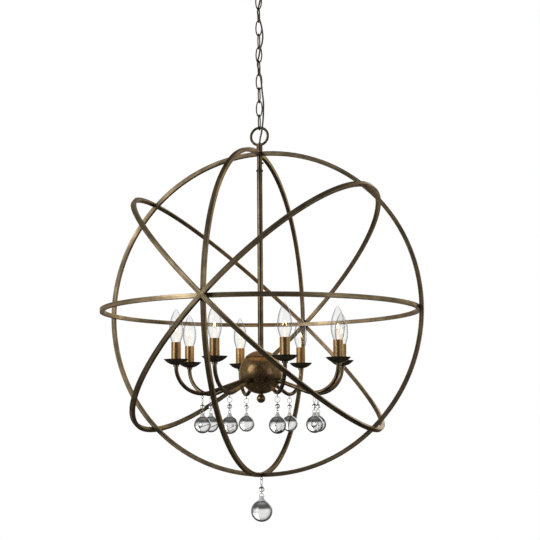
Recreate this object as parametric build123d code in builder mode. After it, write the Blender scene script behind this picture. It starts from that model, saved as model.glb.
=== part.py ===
"""Orb chandelier: five bar rings on a chain, with eight candle arms and nine crystal drops.

Millimetres, +Z up. The origin is on the ceiling, at the middle of the crossbar's upper face.
The upright rings lie in the XZ and YZ planes, and the tilted rings cross at the front, -Y.
"""

import os
from math import atan2, cos, degrees, pi, radians, sin, sqrt, tan

from build123d import *

# Fits
hang_gap = 0.3  # between a hanging piece and the wire or seat that carries it
weld_gap = 0.05  # between bars and faces that are joined by welding or clamping
slip = 0.1  # between a tube, shank or screw and its hole, all round

# Ceiling fitting
crossbar_length = 108
crossbar_width = 20
crossbar_thick = 2.5
mount_spacing = 88.9
mount_hole_dia = 4.8
lock_nut_across = 14
lock_nut_thick = 4
canopy_dia = 130
canopy_drop = 28
canopy_wall = 1.2
canopy_flat_dia = 40
canopy_rim_height = 5
canopy_collar_dia = 24
canopy_collar_height = 8

# Hanging loops, one under the canopy and one on the orb, and the threaded tube they share
loop_dia = 47
loop_wire = 6
loop_collar_dia = 14.3
loop_collar_height = 13.5
loop_boss_dia = 9
loop_boss_proud = 1.2
shank_dia = 8
shank_bore = 5.6
shank_grip = 22

# Chain
link_count = 11
link_length = 38.8
link_width = 17
link_wire = 3
link_end_radius = 5

# Supply cord
cord_dia = 3.2

# Orb rings
orb_radius = 370  # to the middle of the upright rings' bars
bar = 9.5
bar_edge = 0.8

# Stem
coupler_dia = 12
coupler_length = 32.7
coupler_bead_dia = 17
coupler_bead_height = 5
set_screw_drop = 17.7
set_screw_dia = 3
set_screw_head_dia = 4.5
set_screw_head = 3.5
stem_dia = 13
stem_bore = 10.6
stem_bush = 15

# Hub
hub_drop = 139  # from the orb's middle down to the ball's
hub_dia = 98
hub_wall = 1.5
hub_mouth_depth = 9  # from the top of the ball down to its mouth
cap_depth = 14  # from the top of the ball down to the cap's rim
cap_wall = 1.3
rod_window_width = 4
rod_window_height = 14
finial_stand = 10.3  # from the foot of the ball down to the finial's middle
finial_dia = 20
finial_neck_dia = 11
finial_grip = 9

# Arms
arm_count = 8
arm_first_angle = -57.4
arm_dia = 9
arm_bore = 6.5
arm_reach = 196
arm_bend = 60
arm_bend_drop = 127  # from the orb's middle down to the bend's centre
arm_slope = 19.8
arm_grip = 8
arm_flange_dia = 13
arm_flange_thick = 3
arm_cup_dia = 13
arm_cup_height = 4
arm_nipple_rise = 8

# Candles
bobeche_dia = 56
bobeche_depth = 13
bobeche_wall = 1.2
cover_dia = 22
cover_wall = 1
cover_height = 48.6
holder_dia = 17
holder_height = 42.6
socket_bore = 12.4
bulb_base_dia = 11.8
bulb_base_length = 17
bulb_dia = 31.6
bulb_neck_dia = 12.6
bulb_lower = 33
bulb_upper = 46.7
bulb_tip_dia = 4
bulb_tip_rise = 1
bulb_wall = 0.8
bulb_mount_dia = 3
bulb_mount_rise = 24

# Wiring
wire_dia = 3
splice_dia = 30
splice_height = 10

# Crystal drops
arm_eyelet_dia = 6.5
arm_eyelet_wire = 1.2
arm_drop_wire = 1
arm_drop_ring = 13
arm_drop_bead = 10.5
arm_drop_lower_ring = 10.5
arm_drop_eye = 4.6
arm_drop_ball = 38
arm_drop_neck_dia = 14
arm_drop_neck_tip = 5
arm_drop_neck_rise = 7.7
arm_drop_hole = 2.6
orb_eyelet_dia = 7.5
orb_eyelet_wire = 1.5
orb_drop_wire = 1.2
orb_drop_ring = 14
orb_drop_bead = 13
orb_drop_lower_ring = 12
orb_drop_eye = 5
orb_drop_ball = 48.5
orb_drop_neck_dia = 19
orb_drop_neck_tip = 6.5
orb_drop_neck_rise = 9.2
orb_drop_hole = 3.2
eyelet_pin_length = 3
bead_hole_play = 0.2
neck_lip = 1.4  # glass above a neck's hole

# Heights, worked out downwards from the ceiling
loop_radius = (loop_dia - loop_wire) / 2
link_reach = link_length - link_wire  # between the middles of a link's two end wires
link_rise = link_wire + hang_gap  # from a link's lower wire up to the upper wire that hangs on it
loop_rise = (link_wire + loop_wire) / 2 + hang_gap
canopy_loop_z = -canopy_drop - canopy_collar_height - loop_collar_height - loop_dia / 2
top_link_z = canopy_loop_z - loop_radius + loop_rise - link_reach / 2
link_pitch = link_reach - link_rise
bottom_link_z = top_link_z - (link_count - 1) * link_pitch
hanging_loop_z = bottom_link_z - link_reach / 2 + loop_rise - loop_radius
orb_top_z = hanging_loop_z - loop_dia / 2 - loop_collar_height - weld_gap
orb_z = orb_top_z - orb_radius - bar / 2
hub_z = orb_z - hub_drop
shank_hole = shank_dia + 2 * slip

os.makedirs("parts", exist_ok=True)


def save(piece, name):
    """Labels a finished piece and writes it under its node's name."""
    piece.label = name
    export_step(piece, f"parts/{name}.step")


def post(dia, low, high, mode=Mode.ADD):
    """A round post, or a hole, on the Z axis between two heights."""
    with Locations((0, 0, low)):
        Cylinder(dia / 2, high - low, align=(Align.CENTER, Align.CENTER, Align.MIN), mode=mode)


def wire_ring(outer_dia, wire, x, z, axis):
    """A ring of round wire with its middle at x, z, facing along the X or the Y axis."""
    turn = (0, 90, 0) if axis == "X" else (90, 0, 0)
    with Locations(Location((x, 0, z), turn)):
        Torus((outer_dia - wire) / 2, wire / 2)


# Ceiling fitting
with BuildPart() as ceiling_crossbar:
    with BuildSketch(Plane.XY.offset(-crossbar_thick)):
        SlotOverall(crossbar_length, crossbar_width)
        Circle(shank_dia / 2 + slip, mode=Mode.SUBTRACT)
        with GridLocations(mount_spacing, 0, 2, 1):
            Circle(mount_hole_dia / 2, mode=Mode.SUBTRACT)
    extrude(amount=crossbar_thick)
save(ceiling_crossbar.part, "ceiling_crossbar")

with BuildPart() as shank_lock_nut:
    with BuildSketch(Plane.XY.offset(-crossbar_thick - lock_nut_thick)):
        RegularPolygon(lock_nut_across / 2, 6, major_radius=False)
        Circle(shank_hole / 2, mode=Mode.SUBTRACT)
    extrude(amount=lock_nut_thick)
save(shank_lock_nut.part, "shank_lock_nut")

with BuildPart() as canopy:
    with BuildSketch(Plane.XZ):
        with BuildLine():
            rim = Line((canopy_dia / 2, 0), (canopy_dia / 2, -canopy_rim_height))
            dome = TangentArc((canopy_flat_dia / 2, -canopy_drop), rim @ 1, tangent=(1, 0))
            flat = Line(dome @ 0, (shank_hole / 2, -canopy_drop))
            edge = Line(flat @ 1, (shank_hole / 2, canopy_wall - canopy_drop))
            inner_flat = Line(edge @ 1, (canopy_flat_dia / 2, canopy_wall - canopy_drop))
            inner_rim_end = (canopy_dia / 2 - canopy_wall, -canopy_rim_height)
            inner_dome = TangentArc(inner_flat @ 1, inner_rim_end, tangent=(1, 0))
            inner_rim = Line(inner_dome @ 1, (canopy_dia / 2 - canopy_wall, 0))
            Line(inner_rim @ 1, rim @ 0)
        make_face()
    revolve(axis=Axis.Z)
save(canopy.part, "canopy")

with BuildPart() as canopy_collar:
    post(canopy_collar_dia, -canopy_drop - canopy_collar_height, -canopy_drop)
    chamfer(canopy_collar.edges().filter_by(GeomType.CIRCLE), canopy_collar_height / 6)
    post(shank_hole, -canopy_drop - canopy_collar_height, -canopy_drop, Mode.SUBTRACT)
save(canopy_collar.part, "canopy_collar")


def hanging_loop(ring_z, shank_up):
    """A loop with its collar and hollow threaded shank, above the ring or below it."""
    collar_end = loop_dia / 2 + loop_collar_height
    shank_end = -ring_z if shank_up else collar_end + weld_gap + bar + weld_gap + shank_grip
    boss_end = loop_radius - loop_wire / 2 - loop_boss_proud
    with BuildPart() as loop:
        wire_ring(loop_dia, loop_wire, 0, 0, "Y")
        post(loop_boss_dia, boss_end, loop_radius)
        post(loop_collar_dia, loop_radius, collar_end)
        post(shank_dia, collar_end, shank_end)
        post(shank_bore, boss_end, shank_end, Mode.SUBTRACT)
    turn = (0, 0, 0) if shank_up else (180, 0, 0)
    return loop.part.moved(Location((0, 0, ring_z), turn))


save(hanging_loop(canopy_loop_z, True), "canopy_loop")
save(hanging_loop(hanging_loop_z, False), "hanging_loop")


def chain_link(number):
    """An oval link of four tangent arcs. Odd links lie in the YZ plane, even ones in XZ."""
    middle_z = bottom_link_z + (number - 1) * link_pitch
    half_length = link_reach / 2 - link_end_radius
    half_width = (link_width - link_wire) / 2
    side_radius = (half_width**2 + half_length**2 - link_end_radius**2) / 2
    side_radius = side_radius / (half_width - link_end_radius)
    side_shift = side_radius - half_width
    swing = degrees(atan2(half_length, side_shift))
    across = (0, 1, 0) if number % 2 else (1, 0, 0)
    normal = (1, 0, 0) if number % 2 else (0, -1, 0)
    with BuildPart() as link:
        with BuildLine(Plane((0, 0, middle_z), across, normal)) as oval:
            CenterArc((-side_shift, 0), side_radius, -swing, 2 * swing)
            CenterArc((0, half_length), link_end_radius, swing, 180 - 2 * swing)
            CenterArc((side_shift, 0), side_radius, 180 - swing, 2 * swing)
            CenterArc((0, -half_length), link_end_radius, 180 + swing, 180 - 2 * swing)
        with BuildSketch(Plane(oval.line @ 0, z_dir=oval.line % 0)):
            Circle(link_wire / 2)
        sweep(path=oval.line)
    return link.part


for number in range(1, link_count + 1):
    save(chain_link(number), f"chain_link_{number:02d}")

# Supply cord, down through the canopy loop, woven through the chain and into the orb's loop
cord_route = [
    (0.0, 0.0, -34.0),
    (0.0, 0.0, -63.0),
    (4.5, 8.5, -92.0),
    (5.0, 8.0, -117.0),
    (0.5, 6.5, -140.0),
    (-5.0, 5.0, -161.0),
    (-1.0, 1.0, -175.0),
    (5.0, -5.0, -189.0),
    (9.5, -5.5, -207.0),
    (11.5, -3.5, -226.0),
    (10.0, -5.0, -243.0),
    (4.5, -5.5, -258.0),
    (0.5, 0.0, -271.0),
    (-5.0, 4.5, -284.0),
    (-4.0, 2.5, -297.0),
    (2.0, -3.0, -309.0),
    (5.5, -5.5, -324.0),
    (7.5, -5.0, -343.0),
    (8.5, -2.0, -363.0),
    (9.5, 4.0, -383.0),
    (8.5, 6.0, -402.0),
    (7.5, 6.5, -421.0),
    (5.5, 7.0, -439.0),
    (3.5, 5.5, -456.0),
    (0.0, 0.0, -477.0),
    (0.0, 0.0, -499.0),
]


def corner_radius(before, corner, after):
    """The largest arc that the two runs at a corner of the route leave room for."""
    run_in = Vector(corner) - Vector(before)
    run_out = Vector(after) - Vector(corner)
    shorter = min(run_in.length, run_out.length)
    return 0.45 * shorter / tan(radians(run_in.get_angle(run_out)) / 2)


cord_radii = [corner_radius(*three) for three in zip(cord_route, cord_route[1:], cord_route[2:])]
with BuildPart() as supply_cord:
    with BuildLine():
        cord_path = FilletPolyline(*cord_route, radius=cord_radii)
    with BuildSketch(Plane(cord_path @ 0, z_dir=cord_path % 0)):
        Circle(cord_dia / 2)
    sweep(path=cord_path)
save(supply_cord.part, "supply_cord")
cord_volume = pi * cord_dia**2 / 4 * cord_path.length
print("cord radii", [round(r) for r in cord_radii])
cord_fill = supply_cord.part.volume / cord_volume
print(f"cord length {cord_path.length:.1f}, volume {cord_fill:.4f} of its section")


# Orb rings
def bar_ring(radius, start, normal):
    """A ring of square bar about the orb's middle, drawn at a start direction and turned."""
    middle = (0, 0, orb_z)
    radial = Vector(start).normalized()
    axis = Vector(normal).normalized()
    with BuildPart() as ring:
        with BuildSketch(Plane(middle, x_dir=radial, z_dir=radial.cross(axis))):
            with Locations((radius, 0)):
                RectangleRounded(bar, bar, bar_edge)
        revolve(axis=Axis(middle, axis))
    return ring.part


inner_radius = orb_radius - bar - weld_gap
outer_radius = orb_radius + bar + weld_gap
crossing = bar + 2 * weld_gap
eyelet_pin = {"arm": arm_eyelet_wire + 2 * slip, "orb": orb_eyelet_wire + 2 * slip}

with BuildPart() as facing_ring:
    add(bar_ring(orb_radius, (1, 0, 1), (0, 1, 0)))
    post(shank_hole, orb_z, orb_top_z + bar, Mode.SUBTRACT)
    post(eyelet_pin["orb"], orb_z - orb_radius - bar, orb_z, Mode.SUBTRACT)
save(facing_ring.part, "facing_ring")

with BuildPart() as side_ring:
    add(bar_ring(orb_radius, (0, 1, 1), (1, 0, 0)))
    with Locations((0, 0, orb_z)):
        Box(2 * bar, crossing, 2 * (orb_radius + bar), mode=Mode.SUBTRACT)
save(side_ring.part, "side_ring")

save(bar_ring(inner_radius, (1, 1, 0), (0, 0, 1)), "level_ring")
save(bar_ring(outer_radius, (1, 1, 1), (1, 0, -1)), "rising_ring")

with BuildPart() as falling_ring:
    add(bar_ring(outer_radius, (1, 1, -1), (1, 0, 1)))
    with Locations(Location((0, 0, orb_z), (0, 45, 0))):
        Box(crossing, 2 * (outer_radius + bar), 3 * bar, mode=Mode.SUBTRACT)
save(falling_ring.part, "falling_ring")

# Stem
coupler_top_z = orb_z + orb_radius - bar / 2 - weld_gap
coupler_bead_z = coupler_top_z - coupler_length
stem_top_z = coupler_bead_z - coupler_bead_height
set_screw_z = coupler_top_z - set_screw_drop
with BuildPart() as stem_coupler:
    post(coupler_dia, coupler_bead_z, coupler_top_z)
    with BuildSketch(Plane.XZ):
        with BuildLine():
            Line((0, stem_top_z), (coupler_bead_dia / 2 - coupler_bead_height / 2, stem_top_z))
            bead_top = (coupler_bead_dia / 2 - coupler_bead_height / 2, coupler_bead_z)
            bead_side = (coupler_bead_dia / 2, (stem_top_z + coupler_bead_z) / 2)
            ThreePointArc((bead_top[0], stem_top_z), bead_side, bead_top)
            Polyline(bead_top, (0, coupler_bead_z), (0, stem_top_z))
        make_face()
    revolve(axis=Axis.Z)
    post(shank_dia, stem_top_z - stem_bush, stem_top_z)
    post(shank_bore, stem_top_z - stem_bush, coupler_top_z, Mode.SUBTRACT)
    post(shank_hole, coupler_top_z - shank_grip - slip, coupler_top_z, Mode.SUBTRACT)
    with BuildSketch(Plane((0, 0, set_screw_z), x_dir=(0, 1, 0), z_dir=(1, 0, 0))):
        Circle(set_screw_dia / 2 + slip)
    extrude(amount=coupler_dia, mode=Mode.SUBTRACT)
save(stem_coupler.part, "stem_coupler")

with BuildPart() as set_screw:
    with BuildSketch(Plane((shank_dia / 2 + slip, 0, set_screw_z), x_dir=(0, 1, 0), z_dir=(1, 0, 0))):
        Circle(set_screw_dia / 2)
    extrude(amount=coupler_dia / 2 - shank_dia / 2)
    with BuildSketch(Plane((coupler_dia / 2 + slip, 0, set_screw_z), x_dir=(0, 1, 0), z_dir=(1, 0, 0))):
        Circle(set_screw_head_dia / 2)
    extrude(amount=set_screw_head)
    chamfer(set_screw.faces().sort_by(Axis.X)[-1].edges(), set_screw_head_dia / 10)
save(set_screw.part, "set_screw")

cap_radius = hub_dia / 2 + slip + cap_wall
stem_foot_z = hub_z + sqrt(cap_radius**2 - (shank_hole / 2) ** 2)
with BuildPart() as stem:
    post(stem_dia, stem_foot_z, stem_top_z)
    post(shank_hole, stem_foot_z, stem_top_z, Mode.SUBTRACT)
    post(stem_bore, stem_foot_z + stem_bush, stem_top_z - stem_bush, Mode.SUBTRACT)
save(stem.part, "stem")


# Arms, drawn in the XZ plane and turned about the stem
bend_z = orb_z - arm_bend_drop
bend_x = arm_reach - arm_bend
slope = Vector(cos(radians(arm_slope)), 0, -sin(radians(arm_slope)))
bend_start = Vector(
    bend_x - arm_bend * sin(radians(arm_slope)), 0, bend_z - arm_bend * cos(radians(arm_slope))
)
hub_middle = Vector(0, 0, hub_z)
slope_foot = bend_start - slope * (bend_start - hub_middle).dot(slope)  # nearest to the ball's middle
flange_seat = slope_foot + slope * (hub_dia / 2)
arm_inner_end = flange_seat - slope * (hub_wall + arm_grip)
cup_top_z = bend_z + arm_cup_height
arm_top_z = cup_top_z + arm_nipple_rise
arm_low_z = bend_z - arm_bend - arm_dia / 2


def arm_route(start, top_z):
    """The middle line of an arm: down the slope, round the bend and straight up."""
    with BuildLine(Plane.XZ) as route:
        Line((start.X, start.Z), (bend_start.X, bend_start.Z))
        CenterArc((bend_x, bend_z), arm_bend, 270 - arm_slope, 90 + arm_slope)
        Line((arm_reach, bend_z), (arm_reach, top_z))
    return route.line


with BuildPart() as arm:
    route = arm_route(arm_inner_end, arm_top_z)
    with BuildSketch(Plane(route @ 0, z_dir=route % 0)):
        Circle(arm_dia / 2)
    sweep(path=route)
    with BuildSketch(Plane(flange_seat, z_dir=slope)):
        Circle(arm_flange_dia / 2)
    extrude(amount=arm_flange_thick)
    with BuildSketch(Plane((arm_reach, 0, bend_z))):
        Circle(arm_cup_dia / 2)
    extrude(amount=arm_cup_height)
    with BuildSketch(Plane(route @ 0, z_dir=route % 0)):
        Circle(arm_bore / 2)
    sweep(path=route, mode=Mode.SUBTRACT)
    with BuildSketch(Plane((bend_x, 0, arm_low_z))):
        Circle(eyelet_pin["arm"] / 2)
    extrude(amount=arm_dia / 2, mode=Mode.SUBTRACT)


def arm_angle(number):
    """The direction of an arm about the stem, counted from 1."""
    return arm_first_angle + (number - 1) * 360 / arm_count


for number in range(1, arm_count + 1):
    save(arm.part.rotate(Axis.Z, arm_angle(number)), f"arm_{number}")

# Hub
with BuildPart() as hub_bowl:
    with Locations((0, 0, hub_z)):
        Sphere(hub_dia / 2)
        Sphere(hub_dia / 2 - hub_wall, mode=Mode.SUBTRACT)
    post(hub_dia, hub_z + hub_dia / 2 - hub_mouth_depth, hub_z + hub_dia, Mode.SUBTRACT)
    post(shank_hole, hub_z - hub_dia, hub_z, Mode.SUBTRACT)
    with PolarLocations(0, arm_count, arm_first_angle):
        with Locations(Plane(slope_foot, z_dir=slope)):
            Cylinder(
                arm_dia / 2 + slip,
                hub_dia,
                align=(Align.CENTER, Align.CENTER, Align.MIN),
                mode=Mode.SUBTRACT,
            )
save(hub_bowl.part, "hub_bowl")

with BuildPart() as hub_cap:
    with Locations((0, 0, hub_z)):
        Sphere(cap_radius)
        Sphere(cap_radius - cap_wall, mode=Mode.SUBTRACT)
    post(3 * hub_dia, hub_z - hub_dia, hub_z + hub_dia / 2 - cap_depth, Mode.SUBTRACT)
    post(shank_hole, hub_z, hub_z + hub_dia, Mode.SUBTRACT)
save(hub_cap.part, "hub_cap")

finial_z = hub_z - hub_dia / 2 - finial_stand
finial_seat_z = hub_z - sqrt((hub_dia / 2) ** 2 - (shank_hole / 2) ** 2)
with BuildPart() as hub_finial:
    with Locations((0, 0, finial_z)):
        Sphere(finial_dia / 2)
    post(finial_neck_dia, finial_z, finial_seat_z)
    post(shank_hole, finial_seat_z - finial_grip - slip, finial_seat_z, Mode.SUBTRACT)
save(hub_finial.part, "hub_finial")

splice_z = arm_inner_end.Z + (arm_inner_end.X - splice_dia / 2) * tan(radians(arm_slope))
with BuildPart() as hub_rod:
    post(shank_dia, finial_seat_z - finial_grip, stem_foot_z + stem_bush)
    post(shank_bore, splice_z - rod_window_height / 2, stem_foot_z + stem_bush, Mode.SUBTRACT)
    with Locations((shank_dia / 2, 0, splice_z)):
        Box(shank_dia, rod_window_width, rod_window_height, mode=Mode.SUBTRACT)
save(hub_rod.part, "hub_rod")

# Candles, drawn on the first arm's axis and turned about the stem
saucer_z = cup_top_z
saucer_rise = (bobeche_dia**2 - arm_cup_dia**2) / 8 / bobeche_depth + bobeche_depth / 2
saucer_radius = sqrt(saucer_rise**2 + (arm_cup_dia / 2) ** 2)
saucer_inner = saucer_radius - bobeche_wall
saucer_floor_z = saucer_z + saucer_rise - sqrt(saucer_inner**2 - (cover_dia / 2) ** 2)
holder_top_z = saucer_floor_z + holder_height
candle = Plane((arm_reach, 0, 0), x_dir=(1, 0, 0), z_dir=(0, -1, 0))
candle_axis = Axis((arm_reach, 0, 0), (0, 0, 1))
nipple_hole = arm_dia + 2 * slip

with BuildPart() as bobeche:
    with BuildSketch(candle):
        with BuildLine():
            seat = Line((nipple_hole / 2, saucer_z), (arm_cup_dia / 2, saucer_z))
            rim_z = saucer_z + bobeche_depth
            under = RadiusArc(seat @ 1, (bobeche_dia / 2, rim_z), -saucer_radius)
            inner_rim_x = sqrt(saucer_inner**2 - (bobeche_depth - saucer_rise) ** 2)
            rim = Line(under @ 1, (inner_rim_x, rim_z))
            inside = RadiusArc(rim @ 1, (cover_dia / 2, saucer_floor_z), saucer_inner)
            Polyline(inside @ 1, (nipple_hole / 2, saucer_floor_z), seat @ 0)
        make_face()
    revolve(axis=candle_axis)

with BuildPart() as candle_cover:
    with BuildSketch(Plane((arm_reach, 0, saucer_floor_z))):
        Circle(cover_dia / 2)
        Circle(cover_dia / 2 - cover_wall, mode=Mode.SUBTRACT)
    extrude(amount=cover_height)

wire_top_z = arm_top_z + slip
socket_floor_z = holder_top_z - bulb_base_length
with BuildPart() as lamp_holder:
    with BuildSketch(Plane((arm_reach, 0, saucer_floor_z))):
        Circle(holder_dia / 2)
    extrude(amount=holder_height)
    with BuildSketch(Plane((arm_reach, 0, saucer_floor_z))):
        Circle(nipple_hole / 2)
    extrude(amount=wire_top_z - saucer_floor_z, mode=Mode.SUBTRACT)
    with BuildSketch(Plane((arm_reach, 0, socket_floor_z))):
        Circle(socket_bore / 2)
    extrude(amount=bulb_base_length, mode=Mode.SUBTRACT)

bulb_z = holder_top_z + hang_gap
bulb_belly_z = bulb_z + bulb_lower
bulb_tip_z = bulb_belly_z + bulb_upper


def half_way(wide, narrow, reach):
    """The radius half way along an arc that runs from the widest ring to a narrower one."""
    radius = ((wide - narrow) ** 2 + reach**2) / (2 * (wide - narrow))
    return wide - radius + sqrt(radius**2 - reach**2 / 4)


def bulb_form(inset):
    """Half of the bulb's section: its outside, or its inside with the wall as inset."""
    wide = bulb_dia / 2 - inset
    neck = bulb_neck_dia / 2 - inset
    tip = bulb_tip_dia / 2 - inset
    tip_end = (tip, bulb_tip_z - inset)
    with BuildSketch(candle, mode=Mode.PRIVATE) as form:
        with BuildLine():
            low_middle = (half_way(wide, neck, bulb_lower), bulb_belly_z - bulb_lower / 2)
            ThreePointArc((neck, bulb_z), low_middle, (wide, bulb_belly_z))
            high_middle = (half_way(wide, tip, bulb_upper), bulb_belly_z + bulb_upper / 2)
            ThreePointArc((wide, bulb_belly_z), high_middle, tip_end)
            Polyline(tip_end, (0, bulb_tip_z + bulb_tip_rise - inset), (0, bulb_z), (neck, bulb_z))
        make_face()
    return form.sketch


with BuildPart() as bulb_glass:
    revolve(bulb_form(0), axis=candle_axis)
    revolve(bulb_form(bulb_wall), axis=candle_axis, mode=Mode.SUBTRACT)

with BuildPart() as bulb_base:
    with BuildSketch(Plane((arm_reach, 0, bulb_z - bulb_base_length))):
        Circle(bulb_base_dia / 2)
    extrude(amount=bulb_base_length)
    chamfer(bulb_base.faces().sort_by(Axis.Z)[0].edges(), bulb_base_dia / 4)

with BuildPart() as bulb_mount:
    with BuildSketch(Plane((arm_reach, 0, bulb_z))):
        Circle(bulb_mount_dia / 2)
    extrude(amount=bulb_mount_rise)


def on_every_arm(piece):
    """One copy of a piece on each arm."""
    return [piece.rotate(Axis.Z, arm_angle(number)) for number in range(1, arm_count + 1)]


save(Compound(on_every_arm(bobeche.part)), "bobeches")
save(Compound(on_every_arm(candle_cover.part)), "candle_covers")
save(Compound(on_every_arm(lamp_holder.part)), "lamp_holders")
bulb = Compound([bulb_glass.part, bulb_base.part, bulb_mount.part])
for number, copy in enumerate(on_every_arm(bulb), 1):
    save(copy, f"bulb_{number}")

# Wiring: down the stem to the splice in the ball, and out through the arms to the holders
wire_start_z = cord_route[-1][2]
with BuildPart() as stem_wire:
    post(cord_dia, splice_z - cord_dia / 2, wire_start_z)
    with BuildSketch(Plane((0, 0, splice_z), x_dir=(0, 1, 0), z_dir=(1, 0, 0))):
        Circle(cord_dia / 2)
    extrude(amount=shank_hole / 2)

with BuildPart() as splice:
    post(splice_dia, splice_z - splice_height / 2, splice_z + splice_height / 2)
    post(shank_hole, splice_z - splice_height / 2, splice_z + splice_height / 2, Mode.SUBTRACT)

with BuildPart() as arm_wire:
    wire_route = arm_route(Vector(splice_dia / 2, 0, splice_z), wire_top_z)
    with BuildSketch(Plane(wire_route @ 0, z_dir=wire_route % 0)):
        Circle(wire_dia / 2)
    sweep(path=wire_route)
    add(splice.part, mode=Mode.SUBTRACT)
save(Compound([stem_wire.part, splice.part, *on_every_arm(arm_wire.part)]), "inner_wiring")


# Crystal drops, each hung from an eyelet whose pin goes up into what carries it
def eyelet(dia, wire, x, seat_z):
    """A wire eye with its pin, under a face at seat_z. It faces along Y."""
    with BuildPart() as eye:
        wire_ring(dia, wire, x, seat_z - dia / 2, "Y")
        with BuildSketch(Plane((x, 0, seat_z - wire / 2))):
            Circle(wire / 2)
        extrude(amount=wire / 2 + eyelet_pin_length)
    return eye.part


def drop(x, hook_z, hook_wire, wire, ring_dia, bead_dia, lower_dia, eye_dia, ball_dia, neck):
    """A ring, a bead on its pin, a second ring and a necked ball, below an eyelet's lower wire.

    The neck is given as its width on the ball, its width at the tip, its rise and its hole.
    """
    neck_dia, neck_tip, neck_rise, hole_dia = neck
    step = wire + slip  # between the middles of two wires that hook into each other
    ring_z = hook_z + (hook_wire + wire) / 2 + hang_gap - (ring_dia - wire) / 2
    top_eye_z = ring_z - (ring_dia - wire) / 2 + step - (eye_dia - wire) / 2
    bead_z = top_eye_z - (eye_dia + bead_dia) / 2
    low_eye_z = bead_z - (eye_dia + bead_dia) / 2
    lower_ring_z = low_eye_z - (eye_dia - wire) / 2 + step - (lower_dia - wire) / 2
    lower_radius = (lower_dia - wire) / 2
    neck_foot = sqrt((ball_dia / 2) ** 2 - (neck_dia / 2) ** 2)  # above the ball's middle
    neck_height = ball_dia / 2 - neck_foot + neck_rise
    neck_flare = (neck_dia - neck_tip) / 2 / neck_height
    hole_reach = neck_tip / 2 + neck_flare * (neck_lip + hole_dia / 2)
    bow = lower_radius - sqrt(lower_radius**2 - hole_reach**2)  # of the ring's wire in the hole
    hole_z = lower_ring_z - lower_radius + bow + wire / 2 + slip - hole_dia / 2
    neck_top_z = hole_z + hole_dia / 2 + neck_lip
    ball_z = neck_top_z - neck_rise - ball_dia / 2
    with BuildPart() as ring:
        wire_ring(ring_dia, wire, x, ring_z, "X")
    with BuildPart() as pin:
        wire_ring(eye_dia, wire, x, top_eye_z, "Y")
        wire_ring(eye_dia, wire, x, low_eye_z, "X")
        with BuildSketch(Plane((x, 0, low_eye_z + eye_dia / 2 - wire / 2))):
            Circle(wire / 2)
        extrude(amount=bead_dia + wire)
    with BuildPart() as bead:
        with Locations((x, 0, bead_z)):
            Sphere(bead_dia / 2)
            Cylinder(wire / 2 + bead_hole_play, bead_dia, mode=Mode.SUBTRACT)
    with BuildPart() as lower_ring:
        wire_ring(lower_dia, wire, x, lower_ring_z, "Y")
    with BuildPart() as ball:
        with Locations((x, 0, ball_z)):
            Sphere(ball_dia / 2)
        with Locations((x, 0, ball_z + neck_foot)):
            Cone(neck_dia / 2, neck_tip / 2, neck_height, align=(Align.CENTER, Align.CENTER, Align.MIN))
        with Locations(Location((x, 0, hole_z), (0, 90, 0))):
            Cylinder(hole_dia / 2, neck_dia, mode=Mode.SUBTRACT)
    print(f"drop: bead at {bead_z - orb_z:.1f}, ball at {ball_z - orb_z:.1f} from the orb's middle")
    return Compound([ring.part, pin.part, bead.part, lower_ring.part, ball.part])


orb_seat_z = orb_z - orb_radius - bar / 2
arm_hook_z = arm_low_z - arm_eyelet_dia + arm_eyelet_wire / 2
orb_hook_z = orb_seat_z - orb_eyelet_dia + orb_eyelet_wire / 2
arm_eyelet = eyelet(arm_eyelet_dia, arm_eyelet_wire, bend_x, arm_low_z)
orb_eyelet = eyelet(orb_eyelet_dia, orb_eyelet_wire, 0, orb_seat_z)
save(Compound([*on_every_arm(arm_eyelet), orb_eyelet]), "drop_eyelets")

arm_drop = drop(
    bend_x,
    arm_hook_z,
    arm_eyelet_wire,
    arm_drop_wire,
    arm_drop_ring,
    arm_drop_bead,
    arm_drop_lower_ring,
    arm_drop_eye,
    arm_drop_ball,
    (arm_drop_neck_dia, arm_drop_neck_tip, arm_drop_neck_rise, arm_drop_hole),
)
for number, copy in enumerate(on_every_arm(arm_drop), 1):
    save(copy, f"crystal_drop_{number}")

orb_drop = drop(
    0,
    orb_hook_z,
    orb_eyelet_wire,
    orb_drop_wire,
    orb_drop_ring,
    orb_drop_bead,
    orb_drop_lower_ring,
    orb_drop_eye,
    orb_drop_ball,
    (orb_drop_neck_dia, orb_drop_neck_tip, orb_drop_neck_rise, orb_drop_hole),
)
save(orb_drop, "orb_drop")
print(f"orb's middle at {orb_z:.2f}, lowest point about {orb_drop.bounding_box().min.Z:.1f}")
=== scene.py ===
# %% [markdown]
# # An orb chandelier, dressed for the camera
# The real thing is an open ball of five square-bar rings in hand-brushed bronze. It hangs on a
# chain, and inside it eight arms carry candle lights and clear glass balls. The packed CAD
# model already has every bar, link and tube in its true place, so this lesson keeps those
# solids and gives them finishes. Only the pieces that need more than one material, or a
# smoother skin, are made again here: the cord, the bulbs and the glass drops.

# %% Load the frame
import math

import bpy
import numpy as np
from mathutils import Matrix, Vector


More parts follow.
